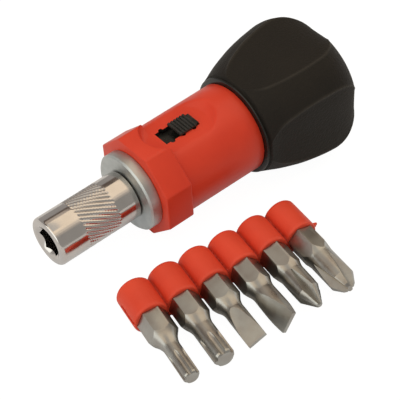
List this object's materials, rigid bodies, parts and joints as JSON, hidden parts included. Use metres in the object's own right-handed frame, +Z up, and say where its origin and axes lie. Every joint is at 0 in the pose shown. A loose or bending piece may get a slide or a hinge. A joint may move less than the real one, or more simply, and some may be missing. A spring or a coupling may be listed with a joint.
{
  "type": "ratcheting screwdriver",
  "caption": "Stubby reversible ratcheting screwdriver with knurled hex chuck, thumb direction switch, black palm cap and a red rubber strip of hex bits.",
  "frame": {"origin": "on the bench, under the middle of the whole set's bounding box (tool, strip and bits)", "axes": "+X along the lying tool from the chuck's tip towards the palm cap, +Z up, and the bits point along -Y"},
  "size_m": [0.0855, 0.0647, 0.0307],
  "materials": {
    "bright_chrome": "mirror-bright nickel-chrome plate, knurled band",
    "magnet_nickel": "nickel-plated magnet",
    "turned_steel": "turned, lightly oiled",
    "hard_steel": "hardened, oil-dark",
    "spring_steel": "spring temper, blued",
    "bronze": "oil-filled bronze, satin",
    "zinc_plate": "dull zinc plate",
    "red_plastic": "satin injection-moulded",
    "black_plastic": "fine matte moulding",
    "black_rubber": "matte over-moulded rubber",
    "red_rubber": "soft satin elastomer",
    "bit_steel": "sand-blasted warm grey tool steel"
  },
  "bodies": {
    "handle": {"barrel": "red_plastic", "nose_bush": "zinc_plate", "thrust_washer": "bronze", "bearing_bulkhead": "black_plastic", "bulkhead_screws": "turned_steel", "pawl_pins": "turned_steel", "pawl_springs": "spring_steel", "chamber_cover": "black_plastic", "cap_o_ring": "black_rubber"},
    "drive": {"chuck_sleeve": "bright_chrome", "socket_magnet": "magnet_nickel", "drive_spindle": "turned_steel", "ratchet_gear": "hard_steel", "spacer_sleeve": "bronze", "spindle_clip": "spring_steel"},
    "selector": {"selector_switch": "black_plastic"},
    "pawl_a": {"pawl_forward": "hard_steel"},
    "pawl_b": {"pawl_reverse": "hard_steel"},
    "cap": {"palm_grip": "black_rubber", "cap_liner": "black_plastic"},
    "strip": {"bit_strip": "red_rubber"},
    "bit_1": {"star_bit_small": "bit_steel"},
    "bit_2": {"star_bit_large": "bit_steel"},
    "bit_3": {"slotted_bit_narrow": "bit_steel"},
    "bit_4": {"slotted_bit_wide": "bit_steel"},
    "bit_5": {"cross_bit_pointed": "bit_steel"},
    "bit_6": {"cross_bit_ribbed": "bit_steel"}
  },
  "joints": [
    {"name": "drive_spin", "type": "hinge", "parent": "handle", "child": "drive", "pos_m": [-0.04234, 0.01707, 0.01013], "axis": [0.9976, 0, 0.0693], "continuous": true},
    {"name": "switch_slide", "type": "slide", "parent": "handle", "child": "selector", "axis": [-0.9976, 0, -0.0693], "range_m": [0, 0.0062]},
    {"name": "pawl_forward_swing", "type": "hinge", "parent": "handle", "child": "pawl_a", "pos_m": [-0.00227, 0.01007, 0.0105], "axis": [0.9976, 0, 0.0693], "range_deg": [0, 10]},
    {"name": "pawl_reverse_swing", "type": "hinge", "parent": "handle", "child": "pawl_b", "pos_m": [-0.00227, 0.02406, 0.0105], "axis": [0.9976, 0, 0.0693], "range_deg": [0, 10]},
    {"name": "cap_slide", "type": "slide", "parent": "handle", "child": "cap", "axis": [0.9976, 0, 0.0693], "range_m": [0, 0.03]},
    {"name": "strip_lift", "type": "slide", "parent": "handle", "child": "strip", "axis": [0, 0, 1], "range_m": [0, 0.05]},
    {"name": "star_bit_small_draw", "type": "slide", "parent": "strip", "child": "bit_1", "axis": [-0.2028, -0.9792, 0], "range_m": [0, 0.0065]},
    {"name": "star_bit_large_draw", "type": "slide", "parent": "strip", "child": "bit_2", "axis": [-0.1881, -0.9822, 0], "range_m": [0, 0.0065]},
    {"name": "slotted_bit_narrow_draw", "type": "slide", "parent": "strip", "child": "bit_3", "axis": [-0.1733, -0.9849, 0], "range_m": [0, 0.0065]},
    {"name": "slotted_bit_wide_draw", "type": "slide", "parent": "strip", "child": "bit_4", "axis": [-0.1585, -0.9874, 0], "range_m": [0, 0.0065]},
    {"name": "cross_bit_pointed_draw", "type": "slide", "parent": "strip", "child": "bit_5", "axis": [-0.1437, -0.9896, 0], "range_m": [0, 0.0065]},
    {"name": "cross_bit_ribbed_draw", "type": "slide", "parent": "strip", "child": "bit_6", "axis": [-0.1288, -0.9917, 0], "range_m": [0, 0.0065]}
  ],
  "couplings": [
    {"joint": "pawl_forward_swing", "follows": "switch_slide", "rad_per_m": 28.15},
    {"joint": "pawl_reverse_swing", "follows": "switch_slide", "rad_per_m": 28.15}
  ]
}
